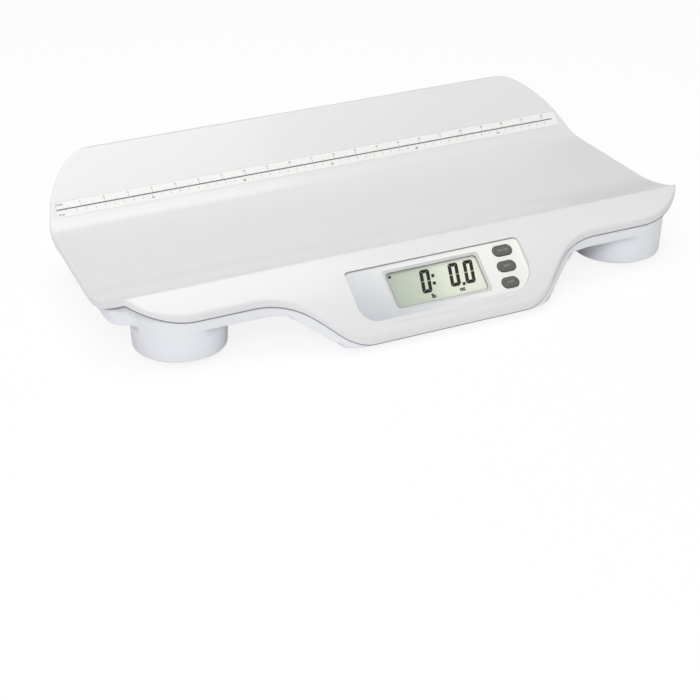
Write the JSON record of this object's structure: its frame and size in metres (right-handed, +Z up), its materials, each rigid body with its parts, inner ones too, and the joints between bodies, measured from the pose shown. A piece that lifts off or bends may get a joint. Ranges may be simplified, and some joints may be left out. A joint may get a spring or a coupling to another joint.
{
  "type": "baby weighing scale",
  "caption": "Digital baby weighing scale: long white trough tray with a measuring strip along its back slope, a sloped front display with push buttons, and a low base on round foot pods.",
  "frame": {"origin": "on the ground below the middle of the scale's bounding box", "axes": "+X along the tray, to the right for someone facing the display; +Y from the display to the raised back edge; +Z up"},
  "size_m": [0.625, 0.335, 0.115],
  "materials": {
    "white_abs": "smooth glossy white ABS",
    "strip_print": "white printed film with black figures",
    "plate_silver": "silver-grey printed plate",
    "bezel_grey": "light grey moulded frame",
    "clear_lens": "clear polished",
    "lcd_glass": "grey-green liquid crystal glass",
    "grey_rubber": "moulded silicone",
    "button_grey": "satin dark grey",
    "circuit_board": "green solder mask",
    "black_plastic": "matt black",
    "socket_white": "natural nylon",
    "foot_rubber": "dark grey moulded rubber",
    "foot_white": "white moulded plastic",
    "cell_steel": "machined",
    "bracket_steel": "zinc plated sheet",
    "screw_steel": "zinc plated",
    "battery_jacket": "dark printed jacket",
    "nickel_contacts": "nickel plated",
    "lead_white": "flexible PVC",
    "lead_red": "flexible PVC",
    "lead_black": "flexible PVC",
    "ribbon_grey": "flat ribbon"
  },
  "bodies": {
    "scale_body": {"aa_batteries": "battery_jacket", "base_shell": "white_abs", "battery_box": "black_plastic", "battery_lead": "lead_red", "board_screws": "screw_steel", "board_sockets": "socket_white", "buzzer": "black_plastic", "cell_bracket_back_left": "bracket_steel", "cell_bracket_back_right": "bracket_steel", "cell_bracket_front_left": "bracket_steel", "cell_bracket_front_right": "bracket_steel", "cell_lead_back_left": "lead_white", "cell_lead_back_right": "lead_white", "cell_lead_front_left": "lead_white", "cell_lead_front_right": "lead_white", "display_board": "circuit_board", "display_chips": "black_plastic", "display_plate": "plate_silver", "display_screws": "screw_steel", "flat_contacts": "nickel_contacts", "foot_cup_back_left": "foot_white", "foot_cup_back_right": "foot_white", "foot_cup_front_left": "foot_white", "foot_cup_front_right": "foot_white", "foot_pad_back_left": "foot_rubber", "foot_pad_back_right": "foot_rubber", "foot_pad_front_left": "foot_rubber", "foot_pad_front_right": "foot_rubber", "jack_lead": "lead_black", "key_mat": "grey_rubber", "lcd_bezel": "bezel_grey", "lcd_contact_strips": "grey_rubber", "lcd_lens": "clear_lens", "lcd_panel": "lcd_glass", "load_cell_back_left": "cell_steel", "load_cell_back_right": "cell_steel", "load_cell_front_left": "cell_steel", "load_cell_front_right": "cell_steel", "load_cell_screws": "screw_steel", "load_cell_shims": "bracket_steel", "main_board": "circuit_board", "main_chips": "black_plastic", "measuring_strip": "strip_print", "power_jack": "black_plastic", "ribbon_cable": "ribbon_grey", "shell_screws": "screw_steel", "spring_contacts": "nickel_contacts", "top_shell": "white_abs"},
    "button_top_body": {"button_top": "button_grey"},
    "button_middle_body": {"button_middle": "button_grey"},
    "button_low_body": {"button_low": "button_grey"},
    "battery_door_body": {"battery_door": "white_abs"}
  },
  "joints": [
    {"name": "button_top_press", "type": "slide", "parent": "scale_body", "child": "button_top_body", "axis": [0, 0.6414, -0.7672], "range_m": [0, 0.0008], "stiffness_N_per_m": 400, "springref_m": -0.0008},
    {"name": "button_middle_press", "type": "slide", "parent": "scale_body", "child": "button_middle_body", "axis": [0, 0.6414, -0.7672], "range_m": [0, 0.0008], "stiffness_N_per_m": 400, "springref_m": -0.0008},
    {"name": "button_low_press", "type": "slide", "parent": "scale_body", "child": "button_low_body", "axis": [0, 0.6414, -0.7672], "range_m": [0, 0.0008], "stiffness_N_per_m": 400, "springref_m": -0.0008},
    {"name": "battery_door_slide", "type": "slide", "parent": "scale_body", "child": "battery_door_body", "axis": [0, 1, 0], "range_m": [0, 0.034]}
  ]
}
